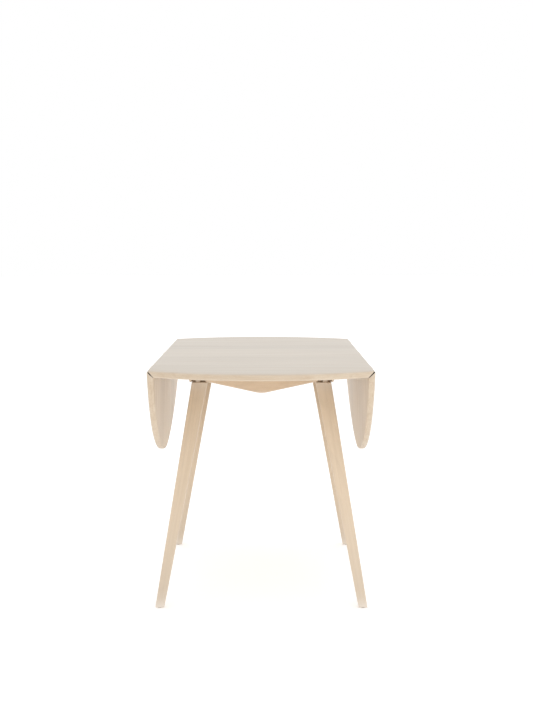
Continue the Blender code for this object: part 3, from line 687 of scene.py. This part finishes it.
# ---------------------------------------------------------------- fittings
def fine_fitting(node, body, material):
    """The fitting's own shape with clean faces and small rounded edges."""
    bm = bmesh.new()
    bm.from_mesh(frame["nodes"][node].data)
    bmesh.ops.remove_doubles(bm, verts=bm.verts, dist=1e-6)
    bmesh.ops.dissolve_limit(bm, angle_limit=radians(1.0), verts=bm.verts, edges=bm.edges)
    mesh = bpy.data.meshes.new(node)
    bm.to_mesh(mesh)
    bm.free()
    fitting = add_object("fine_" + node, mesh)
    width = next(w for start, w in EDGE_WIDTHS if node.startswith(start))
    soften(fitting, width, 2, 40.0)
    dress(fitting, material, body, replaces=node, sharp=55.0)


def screw_head(radius, depth):
    """Countersunk head with a cross recess, its face at z = 0 and its cone below."""
    bm = bmesh.new()
    bmesh.ops.create_cone(bm, cap_ends=True, segments=32, radius1=radius - depth,
                          radius2=radius, depth=depth,
                          matrix=Matrix.Translation((0, 0, -depth / 2)))
    mesh = bpy.data.meshes.new("head")
    bm.to_mesh(mesh)
    bm.free()
    head = add_object("head", mesh)
    soften(head, 0.08 * radius, 2, 20.0)
    arm, half = 0.62 * radius, 0.14 * radius
    boolean(head, box_mesh((-arm, arm), (-half, half), (-0.55 * depth, depth)))
    boolean(head, box_mesh((-half, half), (-arm, arm), (-0.55 * depth, depth)))
    mesh = head.data
    bpy.data.objects.remove(head, do_unlink=True)
    return mesh


def screw_group(name, body, head, places, material):
    """All screws of one kind on one body; each place has its Z axis out of the head."""
    bm = bmesh.new()
    for number, place in enumerate(places):
        copy = head.copy()
        copy.transform(place @ Matrix.Rotation(0.7 * number, 4, "Z"))
        bm.from_mesh(copy)
        bpy.data.meshes.remove(copy)
    mesh = bpy.data.meshes.new(name)
    bm.to_mesh(mesh)
    bm.free()
    dress(add_object(name, mesh), material, body, sharp=40.0)


def facing(point, direction):
    """Matrix at a point with its Z axis along a direction."""
    turn = Vector(direction).to_track_quat("Z", "Y").to_matrix().to_4x4()
    return Matrix.Translation(point) @ turn


def build_screws(material):
    """Heads in the countersinks of the hinges, tracks, leaf brackets and top brackets."""
    small = screw_head(SCREW_HEAD, SCREW_DEPTH)
    large = screw_head(LONG_SCREW_HEAD, LONG_SCREW_DEPTH)
    along, across = HINGE_SCREW_REACH / sqrt(2), PLATE_FACE / sqrt(2)
    steps = [y + step for y in HINGE_Y for step in (-HINGE_SCREW_Y, HINGE_SCREW_Y)]
    for side in ("left", "right"):
        hand = Matrix.Rotation(0.0 if side == "right" else pi, 4, "Z")
        in_top = [hand @ facing((PIN_X - along - across, y, PIN_Z - along + across), (1, 0, -1))
                  for y in steps]
        in_leaf = [leaf_matrix(side)
                   @ facing((PIN_X + along + across, y, PIN_Z - along + across), (-1, 0, -1))
                   for y in steps]
        track_low, track_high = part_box(f"stay_track_{side}")
        roof = track_high[2] - TRACK_WALL
        in_track = [facing((x, 0, roof), (0, 0, -1))
                    for x in (track_low[0] + TRACK_SCREW, track_high[0] - TRACK_SCREW)]
        foot = UNDERSIDE - FOOT_DEPTH
        in_leaf += [leaf_matrix(side) @ facing((PIN_X + x, FOOT_SCREW_Y, foot), (0, 0, -1))
                    for x in FOOT_SCREW_X]
        screw_group(f"screws_hinge_top_{side}", "base", small, in_top, material)
        screw_group(f"screws_track_{side}", "base", small, in_track, material)
        screw_group(f"screws_leaf_{side}", f"leaf_{side}", small, in_leaf, material)
    in_brackets = []
    for number in range(1, 5):
        low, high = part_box(f"top_bracket_{number}")
        side = 1 if low[0] > 0 else -1
        corner = high[0] if side > 0 else low[0]
        y = (low[1] + high[1]) / 2
        in_brackets.append(facing((corner - side * BRACKET_SCREW, y, high[2] - BRACKET_PLATE),
                                  (0, 0, -1)))
        in_brackets.append(facing((corner - side * BRACKET_PLATE, y, high[2] - BRACKET_SCREW),
                                  (-side, 0, 0)))
    screw_group("screws_brackets", "base", large, in_brackets, material)


# ---------------------------------------------------------------- build
make_camera()
make_studio()

# the top's limed film is partly a painted sheen on its upward faces
top_wood = washed_wood("washed_top", srgb(214, 196, 171), srgb(195, 171, 142), 3.0, STAVE, 0.9,
                       srgb(209, 202, 192), 0.3)
# the legs' limed film is laid on towards the foot as painted floor bounce
leg_wood = washed_wood("washed_legs", srgb(219, 192, 156), srgb(198, 169, 130), 11.0,
                       limed=srgb(220, 206, 188))
frame_wood = washed_wood("washed_frame", srgb(224, 201, 174), srgb(202, 174, 141), 17.0)
steel = brushed_metal("zinc_steel", (0.60, 0.60, 0.58), (0.36, 0.35, 0.33), "X", 0.28)
brass = brushed_metal("satin_brass", (0.66, 0.50, 0.27), (0.34, 0.24, 0.12), "Y", 0.26)
plastic = moulded_plastic("glide_nylon", (0.30, 0.25, 0.20))

build_top(top_wood)
for side in ("left", "right"):
    build_leaf(side, top_wood)
for sy, end in ((-1, "front"), (1, "rear")):
    build_apron(f"{end}_apron", frame_wood)
    for sx, hand in ((-1, "left"), (1, "right")):
        build_leg(f"leg_{end}_{hand}", sx, sy, leg_wood)
for hand in ("left", "right"):
    build_rail(f"side_rail_{hand}", frame_wood)

WOODEN = ("table_top", "leaf_left", "leaf_right", "front_apron", "rear_apron",
          "leg_", "side_rail")
for body, nodes in frame["record"]["behaviour"]["bodies"].items():
    for node in nodes:
        if node.startswith(WOODEN):
            continue
        if node.startswith("foot_glide"):
            fine_fitting(node, body, plastic)
        elif node.startswith("hinge") and node.endswith("_plate"):
            fine_fitting(node, body, brass)
        else:
            fine_fitting(node, body, steel)
build_screws(steel)
